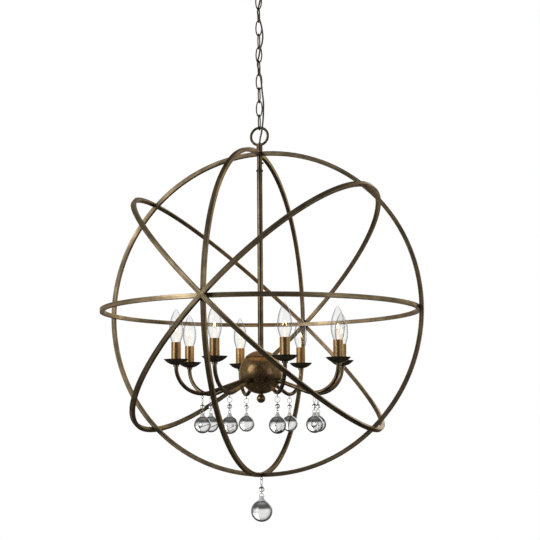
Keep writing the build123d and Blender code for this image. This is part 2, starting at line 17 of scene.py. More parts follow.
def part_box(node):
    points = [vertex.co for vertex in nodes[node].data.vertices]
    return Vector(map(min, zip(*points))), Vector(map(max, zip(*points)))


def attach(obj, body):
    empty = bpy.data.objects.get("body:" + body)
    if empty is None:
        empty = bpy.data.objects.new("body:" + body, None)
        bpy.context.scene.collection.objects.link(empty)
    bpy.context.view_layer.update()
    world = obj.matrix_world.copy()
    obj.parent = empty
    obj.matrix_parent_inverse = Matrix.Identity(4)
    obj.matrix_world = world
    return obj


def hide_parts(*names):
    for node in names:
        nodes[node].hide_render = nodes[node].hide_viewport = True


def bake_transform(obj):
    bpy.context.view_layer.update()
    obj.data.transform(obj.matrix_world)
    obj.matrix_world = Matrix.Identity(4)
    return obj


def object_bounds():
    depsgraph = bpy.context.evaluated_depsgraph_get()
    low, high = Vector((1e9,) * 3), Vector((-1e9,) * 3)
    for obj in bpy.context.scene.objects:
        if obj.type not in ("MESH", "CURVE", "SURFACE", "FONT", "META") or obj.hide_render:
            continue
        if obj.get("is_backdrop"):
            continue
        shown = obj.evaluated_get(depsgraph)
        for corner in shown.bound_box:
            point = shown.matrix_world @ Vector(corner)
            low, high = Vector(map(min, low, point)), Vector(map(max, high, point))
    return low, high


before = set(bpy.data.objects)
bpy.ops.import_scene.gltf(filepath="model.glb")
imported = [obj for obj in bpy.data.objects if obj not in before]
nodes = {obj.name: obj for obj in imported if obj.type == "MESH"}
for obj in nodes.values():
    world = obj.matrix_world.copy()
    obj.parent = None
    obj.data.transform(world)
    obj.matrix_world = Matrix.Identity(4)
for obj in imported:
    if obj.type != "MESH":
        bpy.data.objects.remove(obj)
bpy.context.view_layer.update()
scene = bpy.context.scene
scene.view_settings.view_transform = "Standard"
MM = 0.001

# %% [markdown]
# ## The camera
# A camera can be set by eye, but here the five rings gave better evidence: their ellipses in
# the picture fix the direction, the distance and the lens together. The camera stands a little
# below the ball's middle and to its right. A small lens shift puts the ball where it sits in
# the frame, low of the middle, without tilting any upright line.

# %% Place the camera
ring_low, ring_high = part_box("level_ring")
orb = (ring_low + ring_high) / 2
azimuth, elevation, roll = (math.radians(a) for a in (17.61, -5.56, -0.36))
distance = 2.346
focal_px, image_px, sensor_mm = 1021.4, 540, 36
orb_px = (260.5, 311.9)

back = Vector(
    (
        math.sin(azimuth) * math.cos(elevation),
        -math.cos(azimuth) * math.cos(elevation),
        math.sin(elevation),
    )
)
level_right = Vector((math.cos(azimuth), math.sin(azimuth), 0))
level_up = back.cross(level_right)
right = level_right * math.cos(roll) + level_up * math.sin(roll)
up = back.cross(right)
turned = Matrix((right, up, back)).transposed().to_4x4()

camera = bpy.data.objects.new("camera", bpy.data.cameras.new("camera"))
scene.collection.objects.link(camera)
camera.matrix_world = Matrix.Translation(orb + back * distance) @ turned
lens = camera.data
lens.sensor_width = sensor_mm
lens.lens = focal_px / image_px * sensor_mm
lens.shift_x = 0.5 - orb_px[0] / image_px
lens.shift_y = orb_px[1] / image_px - 0.5
scene.camera = camera
print("lens", round(lens.lens, 1), "shift", round(lens.shift_x, 3), round(lens.shift_y, 3))

# %% [markdown]
# ## Shader sums in plain Python
# A finish is mostly arithmetic: strokes plus blotches, less some wear. Wiring Math nodes by
# hand hides that, so one small class wraps a node's socket and lets Python's own operators add
# the Math nodes. Every other node comes from its `make` method.

# %% A socket that can be added up
class Tap:
    """One output of a material's nodes. Sums of taps add Math nodes."""

    def __init__(self, socket):
        self.socket = socket

    def make(self, kind, settings=None, inputs=None, out=0):
        """Adds a node, sets it up, feeds its inputs, and gives one of its outputs."""
        tree = self.socket.id_data
        node = tree.nodes.new(kind)
        for name, value in (settings or {}).items():
            if name == "stops":
                ramp = node.color_ramp
                while len(ramp.elements) < len(value):
                    ramp.elements.new(1.0)
                for element, (place, colour) in zip(ramp.elements, value):
                    element.position = place
                    element.color = (*colour, 1)
            else:
                setattr(node, name, value)
        for name, value in (inputs or {}).items():
            if isinstance(value, Tap):
                tree.links.new(value.socket, node.inputs[name])
            else:
                node.inputs[name].default_value = value
        return Tap(node.outputs[out])

    def math(self, operation, first, second=0.0):
        return self.make("ShaderNodeMath", {"operation": operation}, {0: first, 1: second})

    def __add__(self, other):
        return self.math("ADD", self, other)

    def __sub__(self, other):
        return self.math("SUBTRACT", self, other)

    def __rsub__(self, other):
        return self.math("SUBTRACT", other, self)

    def __mul__(self, other):
        return self.math("MULTIPLY", self, other)

    __radd__ = __add__
    __rmul__ = __mul__


print("operators", [name for name in vars(Tap) if name.endswith(("add__", "sub__", "mul__"))])

# %% Fill a shader's sockets
def feed(shader, **taps):
    """Links taps to a shader's sockets; an underscore in a name stands for a space."""
    for name, tap in taps.items():
        shader.id_data.links.new(tap.socket, shader.inputs[name.replace("_", " ")])


def put(shader, **values):
    """Sets plain values on a shader's sockets."""
    for name, value in values.items():
        shader.inputs[name.replace("_", " ")].default_value = value


print("sums ready")

# %% [markdown]
# ## The studio
# The picture has a white surround with no horizon. A white world alone would light the metal
# from everywhere and flatten it. So the world is white to the camera and through glass, while
# reflections and soft light see a studio: a white wall all round over a darker ground, with the
# photographer's side much dimmer.

# %% World
world = bpy.data.worlds.new("studio")
scene.world = world
world.use_nodes = True
background = world.node_tree.nodes["Background"]
sky = Tap(background.outputs[0])
way = sky.make("ShaderNodeTexCoord", out="Generated")


def along(tap, vector, axis):
    """How far a vector reaches along an axis."""
    inputs = {0: vector, 1: axis}
    return tap.make("ShaderNodeVectorMath", {"operation": "DOT_PRODUCT"}, inputs, out="Value")


def ease(tap, value, low, high, start, end):
    """A value eased from start to end as it goes from low to high."""
    inputs = {"Value": value, "From Min": low, "From Max": high, "To Min": start, "To Max": end}
    return tap.make("ShaderNodeMapRange", {"interpolation_type": "SMOOTHSTEP"}, inputs)


def ray(tap, kind):
    """1 for rays of one kind, such as the camera's own, and 0 for the others."""
    return tap.make("ShaderNodeLightPath", out=f"Is {kind} Ray")


ground_edge, ground_level = (-0.5, 0.1), 0.12
ceiling_edge, ceiling_level = (0.3, 0.9), 0.35
near_edge, near_level = (0.25, 0.85), 0.14
soft_share = 0.55

clear = sky.math("MAXIMUM", ray(sky, "Camera"), ray(sky, "Transmission"))
glossy = ray(sky, "Glossy")
rise = along(sky, way, (0, 0, 1))
wall = ease(sky, rise, *ground_edge, ground_level, 1.0)
wall = wall * ease(sky, rise, *ceiling_edge, 1.0, ceiling_level)
mirrored = wall * ease(sky, along(sky, way, back), *near_edge, 1.0, near_level)
studio = glossy * mirrored + (1 - glossy) * (wall * soft_share)
feed(background, Strength=clear + (1 - clear) * studio)
put(background, Color=(1, 1, 1, 1))
print("world nodes", len(world.node_tree.nodes))

# %% [markdown]
# ## Lamps
# One large soft lamp stands in front to the left and gives the bars their long highlights. A
# weak one on the right and one behind keep the far sides from going black. The bulbs' coils are
# too small to light the bars without speckle, so one weak warm lamp in the middle adds what
# they throw.

# %% Lamps
soft_lamps = {
    "key_lamp": dict(offset=(-2.0, -2.8, 0.9), size=2.2, watts=76),
    "fill_lamp": dict(offset=(2.8, -1.2, 0.2), size=1.6, watts=9),
    "rear_lamp": dict(offset=(0.8, 3.0, 0.9), size=2.2, watts=38),
}
for name, given in soft_lamps.items():
    lamp = bpy.data.lights.new(name, "AREA")
    lamp.size = given["size"]
    lamp.energy = given["watts"]
    stand = bpy.data.objects.new(name, lamp)
    scene.collection.objects.link(stand)
    stand.location = orb + Vector(given["offset"])
    stand.rotation_mode = "QUATERNION"
    stand.rotation_quaternion = (orb - stand.location).to_track_quat("-Z", "Y")
    stand.visible_camera = False

glow_drop = 0.03
candle_glow = bpy.data.lights.new("candle_glow", "POINT")
candle_glow.energy = 0.8
candle_glow.color = (1.0, 0.64, 0.34)
candle_glow.shadow_soft_size = 0.12
glow_spot = bpy.data.objects.new("candle_glow", candle_glow)
glow_spot.location = orb - Vector((0, 0, glow_drop))
scene.collection.objects.link(glow_spot)
glow_spot.visible_camera = False
glow_spot.visible_transmission = False
print("lamps", len(bpy.data.lights))

# %% [markdown]
# ## The floor
# A lamp that hangs needs no floor to stand on, but a pale one far below gives views from above
# something to end on. It is nearly white to the camera, so that it melts into the surround, and
# hidden from glass and reflections, so that no dark edge of it shows in the drops.

# %% Floor
def new_finish(name):
    """A material with a plain Principled shader, and a tap to start sums from."""
    material = bpy.data.materials.new(name)
    material.use_nodes = True
    shader = material.node_tree.nodes["Principled BSDF"]
    return material, shader, Tap(shader.outputs[0])


floor_drop, floor_radius, floor_sides = 2.4, 7.0, 96
paper_share = 0.9
floor_place = (0, 0, -floor_drop)
bpy.ops.mesh.primitive_circle_add(
    vertices=floor_sides, radius=floor_radius, fill_type="NGON", location=floor_place
)
floor = bpy.context.object
floor.name = "floor"
floor_finish, floor_shader, tap = new_finish("pale_floor")
put(floor_shader, Base_Color=(0.86, 0.86, 0.85, 1), Roughness=0.7)
paper = tap.make("ShaderNodeEmission", None, {"Color": (1, 1, 1, 1), "Strength": 1.0})
bright = ray(tap, "Camera") * paper_share
surface = tap.make("ShaderNodeMixShader", None, {0: bright, 1: tap, 2: paper})
floor_tree = floor_finish.node_tree
floor_tree.links.new(surface.socket, floor_tree.nodes["Material Output"].inputs["Surface"])
floor.data.materials.append(floor_finish)
floor.visible_glossy = False
floor.visible_transmission = False
floor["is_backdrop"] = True
print("floor at", -floor_drop)

# %% [markdown]
# ## The cord
# A flat twin lead runs down from the ceiling fitting, woven through the chain, into the ball's
# loop. Its route is one smooth spline. The chain swings on the upper loop and the ball on the
# last link, so the lead is cut into three, and the long middle goes with the chain. The spans at
# the two loops are left where they are.

# %% Route of the cord, in millimetres
cord_route = [
    (0.0, 0.0, -34.0),
    (0.0, 0.0, -63.0),
    (4.5, 8.5, -92.0),
    (5.0, 8.0, -117.0),
    (0.5, 6.5, -140.0),
    (-5.0, 5.0, -161.0),
    (-1.0, 1.0, -175.0),
    (5.0, -5.0, -189.0),
    (9.5, -5.5, -207.0),
    (11.5, -3.5, -226.0),
    (10.0, -5.0, -243.0),
    (4.5, -5.5, -258.0),
    (0.5, 0.0, -271.0),
    (-5.0, 4.5, -284.0),
    (-4.0, 2.5, -297.0),
    (2.0, -3.0, -309.0),
    (5.5, -5.5, -324.0),
    (7.5, -5.0, -343.0),
    (8.5, -2.0, -363.0),
    (9.5, 4.0, -383.0),
    (8.5, 6.0, -402.0),
    (7.5, 6.5, -421.0),
    (5.5, 7.0, -439.0),
    (3.5, 5.5, -456.0),
    (0.0, 0.0, -477.0),
    (0.0, 0.0, -499.0),
]


def smooth_line(route_mm, steps=16):
    """The points of a route's NURBS spline, in metres."""
    curve = bpy.data.curves.new("route", "CURVE")
    curve.dimensions = "3D"
    curve.resolution_u = steps
    spline = curve.splines.new("NURBS")
    spline.points.add(len(route_mm) - 1)
    for point, place in zip(spline.points, route_mm):
        point.co = (*(v * MM for v in place), 1)
    spline.order_u = 3
    spline.use_endpoint_u = True
    holder = bpy.data.objects.new("route", curve)
    scene.collection.objects.link(holder)
    bpy.context.view_layer.update()
    settled = holder.evaluated_get(bpy.context.evaluated_depsgraph_get())
    mesh = bpy.data.meshes.new_from_object(settled)
    line = np.array([v.co for v in mesh.vertices])
    bpy.data.meshes.remove(mesh)
    bpy.data.objects.remove(holder)
    bpy.data.curves.remove(curve)
    return line


cord_line = smooth_line(cord_route)
cord_length = np.linalg.norm(np.diff(cord_line, axis=0), axis=1).sum()
print("cord points", len(cord_line), "length", round(cord_length, 4))

# %% Section of the lead
core_radius = 1.1 * MM
core_offset = 0.95 * MM
core_arc, core_points = 2.1, 9
arc = np.linspace(-core_arc, core_arc, core_points)
half_section = np.stack([core_offset + core_radius * np.cos(arc), core_radius * np.sin(arc)], 1)
section = np.concatenate([half_section, -half_section])


def frames_along(line, side):
    """A direction and a side at each point, with no twist of their own."""
    ahead = np.gradient(line, axis=0)
    ahead /= np.linalg.norm(ahead, axis=1)[:, None]
    sides = []
    for direction in ahead:
        side = side - direction * (side @ direction)
        side = side / np.linalg.norm(side)
        sides.append(side)
    return ahead, np.array(sides)


cord_flat = np.array([1.0, 0.3, 0])
cord_ahead, cord_side = frames_along(cord_line, cord_flat)

# %% Meshes from rings of points
def mesh_object(name, verts, faces, material):
    """A new smooth mesh piece with one material."""
    mesh = bpy.data.meshes.new(name)
    mesh.from_pydata([tuple(v) for v in verts], [], faces)
    mesh.materials.append(material)
    mesh.validate()
    mesh.polygons.foreach_set("use_smooth", [True] * len(mesh.polygons))
    thing = bpy.data.objects.new(name, mesh)
    scene.collection.objects.link(thing)
    return thing


def tube_faces(rings, sides, closed=False):
    """Faces of a tube of rings of points, with capped ends unless it closes on itself."""
    faces = []
    last = rings if closed else rings - 1
    for i in range(last):
        j = (i + 1) % rings
        for k in range(sides):
            n = (k + 1) % sides
            faces.append((i * sides + k, i * sides + n, j * sides + n, j * sides + k))
    if not closed:
        faces.append(tuple(reversed(range(sides))))
        faces.append(tuple(range((rings - 1) * sides, rings * sides)))
    return faces


print("faces of a short square tube", len(tube_faces(2, 4)))

# %% A grained finish
def object_place(tap):
    """Where a point is on the object, in metres."""
    return tap.make("ShaderNodeTexCoord", out="Object")


def noise(tap, place, scale, detail=2.0, rough=0.5):
    """Soft noise from 0 to 1."""
    inputs = {"Vector": place, "Scale": scale, "Detail": detail, "Roughness": rough}
    return tap.make("ShaderNodeTexNoise", None, inputs)


def ramp(tap, value, places, colours):
    """A colour for a value, blended between places."""
    return tap.make("ShaderNodeValToRGB", {"stops": list(zip(places, colours))}, {0: value})


noise_low, noise_high = 0.3, 0.7


def grained(name, colours, scale, roughness, vary=0.2, **values):
    """A finish with a fine, even grain between two colours."""
    material, shader, tap = new_finish(name)
    grain = noise(tap, object_place(tap), scale)
    colour = ramp(tap, grain, (noise_low, noise_high), colours)
    feed(shader, Base_Color=colour, Roughness=roughness + vary * grain)
    put(shader, **values)
    return material


lead_browns = ((0.055, 0.026, 0.017), (0.14, 0.075, 0.052))
cord_finish = grained("brown_lead", lead_browns, scale=160, roughness=0.22, vary=0.15, Coat_Weight=0.3)
print("cord finish", cord_finish.name)

# %% Spans of twin lead
link_middle = [sum(c.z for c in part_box(f"chain_link_{n}")) / 2 for n in ("11", "01")]
nearest = [int(np.argmin(np.abs(cord_line[:, 2] - z))) for z in link_middle]
cuts = [0, *nearest, len(cord_line) - 1]
for n, (a, b) in enumerate(zip(cuts, cuts[1:]), 1):
    line = cord_line[a : b + 1]
    verts = []
    for p, d, s in zip(line, cord_ahead[a : b + 1], cord_side[a : b + 1]):
        across = np.cross(d, s)
        verts += [p + s * u + across * v for u, v in section]
    span = mesh_object(f"cord_span_{n}", verts, tube_faces(len(line), len(section)), cord_finish)
    if n == 1:
        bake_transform(span)
    elif n == 2:
        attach(span, "chain")
    else:
        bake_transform(span)
    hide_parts("supply_cord")
print("spans", len(cuts) - 1)

# %% [markdown]
# ## Brushed bronze
# The maker sprays the steel dark, rubs a lighter bronze over it by hand, and wipes it along each
# bar, so the colour lies in long thin strokes with darker patches between them. Strokes have to
# follow the metal: round each ring they run with the arc, on a tube they run with its axis. So
# each finish first works out a coordinate along the metal, and stretches the noise along it.

# %% Strokes and patches
patina = (0.018, 0.015, 0.011)
umber = (0.060, 0.047, 0.029)
bronze = (0.140, 0.106, 0.062)
rubbed = (0.29, 0.222, 0.135)
bronze_tones = (patina, umber, bronze, rubbed)
tone_places = (0.1, 0.4, 0.68, 1.0)
fine_strokes = dict(length=15.0, width=420.0, detail=2.0)
broad_strokes = dict(length=8.0, width=210.0, detail=1.0)
long_strokes = dict(length=6.0, width=50.0, detail=2.0)
patch_detail, patch_rough = 3.0, 0.6
fine_share, broad_share, patch_share, length_share = 0.20, 0.26, 0.26, 0.28
dullness, tone_shine, metal_share = 0.44, 0.10, 0.82
stroke_relief, stroke_depth = 0.10, 0.3 * MM
warm_tint = (0.5, 0.42, 0.33, 1)


def spread(tap, value, low=noise_low, high=noise_high):
    """Stretches a value so that low becomes 0 and high becomes 1."""
    return tap.make("ShaderNodeMapRange", None, {"Value": value, "From Min": low, "From Max": high})


def strokes(tap, ways, length, width, detail):
    """Noise drawn out along the first of three ways; length and width are scales per metre."""
    run, *across = ways
    scaled = [run * length, *(way * width for way in across)]
    place = tap.make("ShaderNodeCombineXYZ", None, dict(enumerate(scaled)))
    return noise(tap, place, 1.0, detail)


def brush(finish, ways, tones, tone_lift=0.0, gloss=0.0, cloud=30.0):
    """Finishes a metal: strokes that run one way, patches between them, and a lift in tone, such as
    worn edges.
    """
    material, shader, tap = finish
    fine = strokes(tap, ways, **fine_strokes)
    broad = strokes(tap, ways, **broad_strokes)
    length = strokes(tap, ways, **long_strokes)
    patch = noise(tap, object_place(tap), cloud, patch_detail, patch_rough)
    tone = spread(tap, fine) * fine_share + spread(tap, broad) * broad_share
    tone = tone + spread(tap, patch) * patch_share + spread(tap, length) * length_share + tone_lift
    relief = {"Strength": stroke_relief, "Distance": stroke_depth, "Height": fine}
    feed(
        shader,
        Base_Color=ramp(tap, tone, tone_places, tones),
        Roughness=dullness - gloss - tone * tone_shine,
        Normal=tap.make("ShaderNodeBump", None, relief),
    )
    put(shader, Metallic=metal_share, Specular_Tint=warm_tint)
    return material


print("bronze tones", len(bronze_tones))

# %% Ring finishes
slant = math.sqrt(0.5)
ring_axes = {
    "facing_ring": ((1, 0, 0), (0, 0, 1), (0, 1, 0)),
    "side_ring": ((0, 1, 0), (0, 0, 1), (1, 0, 0)),
    "level_ring": ((1, 0, 0), (0, 1, 0), (0, 0, 1)),
    "rising_ring": ((0, 1, 0), (slant, 0, slant), (slant, 0, -slant)),
    "falling_ring": ((0, 1, 0), (slant, 0, -slant), (slant, 0, slant)),
}
# Each ring's whole tone is shifted by a set amount of its own, on top of its lighter worn edges.
ring_tone_shift = {
    "facing_ring": 0.0,
    "side_ring": -0.04,
    "level_ring": 0.20,
    "rising_ring": 0.08,
    "falling_ring": 0.10,
}
half_bar = 4.75 * MM
edge_start, edge_full, edge_wear = 1.74 * half_bar, 1.92 * half_bar, 0.20
stroke_shift = 7.0


def paint(material, *names):
    """Gives CAD nodes a finish."""
    for name in names:
        slots = nodes[name].data.materials
        slots.clear()
        slots.append(material)


for number, (name, axes) in enumerate(ring_axes.items()):
    finish = new_finish(f"bronze_{name}")
    tap = finish[2]
    inputs = {0: object_place(tap), 1: orb}
    centred = tap.make("ShaderNodeVectorMath", {"operation": "SUBTRACT"}, inputs)
    x, y, aside = (along(tap, centred, axis) for axis in axes)
    low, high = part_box(name)
    middle_radius = max(high.y - low.y, high.x - low.x) / 2 - half_bar
    off = tap.math("SQRT", x * x + y * y) - middle_radius
    edge = tap.math("ABSOLUTE", off) + tap.math("ABSOLUTE", aside)
    tone_lift = spread(tap, edge, edge_start, edge_full) * edge_wear + ring_tone_shift[name]
    run = tap.math("ARCTAN2", y, x) * middle_radius + stroke_shift * number
    paint(brush(finish, (run, off, aside), bronze_tones, tone_lift), name)
print("rings", len(ring_axes))

# %% [markdown]
# ## Tubes, chain, hub and candles
# The other metal parts come from the same workshop but take the brush differently. The chain is
# left darkest, the saucers and canopy are dark too, and the ball and the candle sleeves are
# rubbed to a warmer brown. Their strokes are straight: upright on most, slanting on the ball.

# %% Straight strokes
upright = ((0, 0, 1), (1, 0, 0), (0, 1, 0))
slanting = ((slant, 0, slant), (0, 1, 0), (-slant, 0, slant))
arm_numbers = range(1, 9)


def straight(name, tones=bronze_tones, axes=upright, **more):
    """A brushed finish whose strokes run along the first of three axes."""
    finish = new_finish(name)
    tap = finish[2]
    place = object_place(tap)
    return brush(finish, [along(tap, place, axis) for axis in axes], tones, **more)


tubes = ["stem", "stem_coupler", *(f"arm_{n}" for n in arm_numbers)]
paint(straight("bronze_tube", gloss=0.18), *tubes)
paint(straight("bronze_loop"), "hanging_loop")
print("tubes", len(tubes))

# %% Dark and warm bronzes
chain_tones = (
    (0.008, 0.007, 0.006),
    (0.020, 0.016, 0.011),
    (0.052, 0.039, 0.023),
    (0.13, 0.10, 0.058),
)
link_count = 11
links = [f"chain_link_{n:02d}" for n in range(1, link_count + 1)]
paint(straight("bronze_chain", chain_tones), "canopy_loop", *links)

dark_tones = (
    (0.032, 0.026, 0.021),
    (0.058, 0.047, 0.037),
    (0.096, 0.077, 0.058),
    (0.17, 0.135, 0.098),
)
saucers = ("bobeches", "hub_cap", "canopy", "canopy_collar")
paint(straight("bronze_dark", dark_tones, gloss=0.1), *saucers)

hub_tones = (
    (0.055, 0.034, 0.016),
    (0.115, 0.073, 0.034),
    (0.18, 0.118, 0.056),
    (0.28, 0.195, 0.10),
)
hub_finish = straight("bronze_hub", hub_tones, slanting, gloss=0.12, cloud=55.0)
paint(hub_finish, "hub_bowl", "hub_finial")

sleeve_tones = (
    (0.07, 0.043, 0.018),
    (0.17, 0.106, 0.045),
    (0.28, 0.18, 0.078),
    (0.42, 0.29, 0.14),
)
paint(straight("bronze_sleeve", sleeve_tones, gloss=0.1), "candle_covers")
print("links", len(links), "saucers and covers", len(saucers))

# %% [markdown]
# ## Fittings
# Screws, nuts, lamp holders and wires are bought in, plated or moulded, with no brush marks.
# An even fine grain between two near colours is enough to keep them from looking flat.

# %% Fittings
zincs = ((0.32, 0.32, 0.31), (0.50, 0.50, 0.48))
zinc_finish = grained("zinc_plate", zincs, scale=240, roughness=0.25, Metallic=1.0)
paint(zinc_finish, "ceiling_crossbar", "shank_lock_nut", "hub_rod")

screw_browns = ((0.030, 0.014, 0.010), (0.085, 0.042, 0.028))
paint(grained("screw_brown", screw_browns, scale=900, roughness=0.3, Metallic=0.8), "set_screw")

holder_blacks = ((0.012, 0.012, 0.012), (0.03, 0.03, 0.03))
paint(grained("holder_black", holder_blacks, scale=700, roughness=0.45), "lamp_holders")

wire_whites = ((0.52, 0.51, 0.47), (0.62, 0.61, 0.57))
paint(grained("wire_white", wire_whites, scale=500, roughness=0.4), "inner_wiring")

silvers = ((0.26, 0.255, 0.25), (0.50, 0.49, 0.48))
silver_finish = grained("silver_wire", silvers, scale=420, roughness=0.16, Metallic=1.0)
paint(silver_finish, "drop_eyelets")
print("finishes", len(bpy.data.materials))

# %% [markdown]
# ## Turned pieces
# Bulbs, beads and glass balls are all round about an upright line, so each is a profile turned
# about it. A lathe in code gives a smooth skin with evenly spaced points, which glass needs:
# every flat facet of a coarse ball would show as a bent line behind it.

# %% A lathe
pointed = 1e-7


def lathe(name, profile, centre, material, sides=64):
    """Turns a profile of (radius, height) about an upright line; a zero radius closes an end."""
    verts, faces, rows = [], [], []
    turn = [2 * math.pi * k / sides for k in range(sides)]
    for radius, height in profile:
        start = len(verts)
        if radius < pointed:
            verts.append((centre[0], centre[1], centre[2] + height))
            rows.append((start, 1))
        else:
            for a in turn:
                x, y = radius * math.cos(a), radius * math.sin(a)
                verts.append((centre[0] + x, centre[1] + y, centre[2] + height))
            rows.append((start, sides))
    for (a, count_a), (b, count_b) in zip(rows, rows[1:]):
        for k in range(sides):
            n = (k + 1) % sides
            if count_a == 1:
                faces.append((a, b + n, b + k))
            elif count_b == 1:
                faces.append((a + k, a + n, b))
            else:
                faces.append((a + k, a + n, b + n, b + k))
    return mesh_object(name, verts, faces, material)


print("lathe ready")

# %% [markdown]
# ## Wire
# The drops hang on rings and pins of thin wire, and each bulb has two lead wires and a coil. All
# are round tubes along a line, so one helper makes closed rings and another makes open runs.

# %% Rings and runs of wire
wire_side = np.array([0.8, 0.55, 0.2])


def wire_loop(outer, wire, middle, axis, sides=12, steps=40):
    """Points and faces of a ring of round wire, facing along an axis."""
    axis = Vector(axis).normalized()
    u = axis.orthogonal().normalized()
    v = axis.cross(u)
    radius = (outer - wire) / 2
    verts = []
    for i in range(steps):
        a = 2 * math.pi * i / steps
        out = u * math.cos(a) + v * math.sin(a)
        for k in range(sides):
            b = 2 * math.pi * k / sides
            reach = out * (radius + wire / 2 * math.cos(b))
            verts.append(Vector(middle) + reach + axis * (wire / 2 * math.sin(b)))
    return verts, tube_faces(steps, sides, closed=True)


def wire_run(points, wire, sides=10):
    """Points and faces of a round wire along a line of points."""
    line = np.array(points, float)
    ahead, side = frames_along(line, wire_side)
    verts = []
    for p, d, s in zip(line, ahead, side):
        across = np.cross(d, s)
        for k in range(sides):
            b = 2 * math.pi * k / sides
            verts.append(p + (s * math.cos(b) + across * math.sin(b)) * wire / 2)
    return verts, tube_faces(len(line), sides)


def joined(name, parts, material):
    """Several (points, faces) sets as one piece."""
    verts, faces = [], []
    for part_verts, part_faces in parts:
        shift = len(verts)
        verts += list(part_verts)
        faces += [tuple(i + shift for i in face) for face in part_faces]
    return mesh_object(name, verts, faces, material)


print("wire ready")

# %% [markdown]
# ## Bulbs
# Each light is a clear candle bulb: a blown envelope, a glass stem inside with two lead wires,
# and a short coil that glows. The envelope's wall is too thin to bend light, so what shows is
# its edge, where the eye looks along the wall. The skin therefore lets light straight through,
# and its darkening towards its outline is a painted reflection of the dark room.

# %% Glass, glow and brass
def rim(tap):
    """How far a surface turns away from the eye: 0 face on, 1 at its outline."""
    return tap.make("ShaderNodeLayerWeight", None, {"Blend": 0.5}, out="Facing")


def grey(tap, value):
    """A neutral colour for a value from 0, black, to 1, clear."""
    return ramp(tap, value, (0.0, 1.0), ((0, 0, 0), (1.0, 1.0, 0.99)))


# The envelope's darkening towards its outline is a painted reflection of the dark room.
glass_reflection_edge, glass_reflection_levels = (0.20, 0.84), (0.88, 0.012)
glass_finish, glass_shader, tap = new_finish("bulb_clear")
feed(glass_shader, Base_Color=grey(tap, ease(tap, rim(tap), *glass_reflection_edge, *glass_reflection_levels)))
put(glass_shader, Roughness=0.0, IOR=1.0, Transmission_Weight=1.0)
put(glass_shader, Coat_Weight=0.5, Coat_Roughness=0.02)

coil_finish, coil_shader, tap = new_finish("coil_glow")
coil_edge, coil_heats = (0.15, 0.75), ((0.75, 0.56, 0.32), (0.30, 0.11, 0.018))
heat = ramp(tap, rim(tap), coil_edge, coil_heats)
feed(coil_shader, Base_Color=heat, Emission_Color=heat)
put(coil_shader, Emission_Strength=4.0)

# The stem's darker outline is a painted reflection too, and its orange emission is painted light from
# the coil: the stem is no lamp.
stem_reflection_edge, stem_reflection_levels = (0.2, 0.9), (0.9, 0.3)
stem_finish, stem_shader, tap = new_finish("stem_glass_painted_glow")
feed(stem_shader, Base_Color=grey(tap, ease(tap, rim(tap), *stem_reflection_edge, *stem_reflection_levels)))
put(stem_shader, Roughness=0.05, IOR=1.0, Transmission_Weight=0.8, Coat_Weight=0.6)
put(stem_shader, Emission_Color=(1.0, 0.50, 0.16, 1), Emission_Strength=0.45)

lead_coppers = ((0.42, 0.31, 0.21), (0.60, 0.46, 0.33))
lead_finish = grained("lead_wire", lead_coppers, scale=800, roughness=0.2, Metallic=1.0)
base_brasses = ((0.45, 0.31, 0.12), (0.66, 0.48, 0.21))
brass_finish = grained("base_brass", base_brasses, scale=300, roughness=0.22, Metallic=1.0)
print("finishes", len(bpy.data.materials))

# %% Envelope and stem
bulb_dia, bulb_neck, bulb_tip = 31.6 * MM, 12.6 * MM, 4.0 * MM
bulb_lower, bulb_upper = 33.0 * MM, 46.7 * MM
tip_rise, tip_turns, foot_sink = 0.9 * MM, (0.5, 1.0), 0.2 * MM


def arc_radius(wide, narrow, reach, height):
    """Radius at a height from the widest ring, on an arc that reaches the narrow ring."""
    curve = ((wide - narrow) ** 2 + reach**2) / (2 * (wide - narrow))
    return wide - curve + math.sqrt(curve**2 - height**2)


def envelope(steps=22):
    """The bulb's outline from its neck to its tip."""
    wide, neck, tip = (d / 2 for d in (bulb_dia, bulb_neck, bulb_tip))
    points = []
    for k in range(steps):
        drop = bulb_lower * (1 - k / steps)
        points.append((arc_radius(wide, neck, bulb_lower, drop), bulb_lower * k / steps))
    for k in range(steps + 1):
        climb = bulb_upper * k / steps
        points.append((arc_radius(wide, tip, bulb_upper, climb), bulb_lower + climb))
    top = bulb_lower + bulb_upper
    points += [(tip * math.cos(a), top + tip_rise * math.sin(a)) for a in tip_turns]
    return points + [(0.0, top + tip_rise)]


envelope_skin = [(0.0, -foot_sink), *envelope()]
stem_mm = (
    (0, 1.0),
    (4.6, 1.0),
    (3.6, 4),
    (2.2, 8),
    (1.9, 15),
    (1.7, 21),
    (2.1, 24),
    (1.6, 26),
    (0, 26.6),
)
stem_skin = [(r * MM, h * MM) for r, h in stem_mm]
print("envelope rows", len(envelope_skin), "stem rows", len(stem_skin))

# %% Screw base
base_dia, base_length = 11.8 * MM, 17.0 * MM
contact_mm = ((0.0, 0.0), (2.6, 0.0), (3.4, 0.8))
thread_turns, thread_steps, thread_wave = 6, 40, 0.35 * MM
thread_low, thread_high = -base_length + 3.5 * MM, -0.1 * MM

base_profile = [(r * MM, -base_length + h * MM) for r, h in contact_mm]
for k in range(thread_steps + 1):
    wave = thread_wave * (math.cos(2 * math.pi * thread_turns * k / thread_steps) - 1)
    height = thread_low + (thread_high - thread_low) * k / thread_steps
    base_profile.append((base_dia / 2 + wave, height))
base_profile.append((0.0, thread_high))
print("base rows", len(base_profile))

# %% Leads and coil
lead_mm = ((0.8, 16), (0.9, 22), (2.0, 26), (3.6, 28.5), (4.3, 31))
lead_wire = 0.5
coil_turns, coil_points, coil_foot = 13, 157, 31
coil_wide, coil_rise, coil_radius, coil_wire = 8.6, 9.0, 1.25, 0.75


def lead_line(foot, side):
    """The points of one lead wire, which leans to a side."""
    return [foot + side * (r * MM) + Vector((0, 0, h * MM)) for r, h in lead_mm]


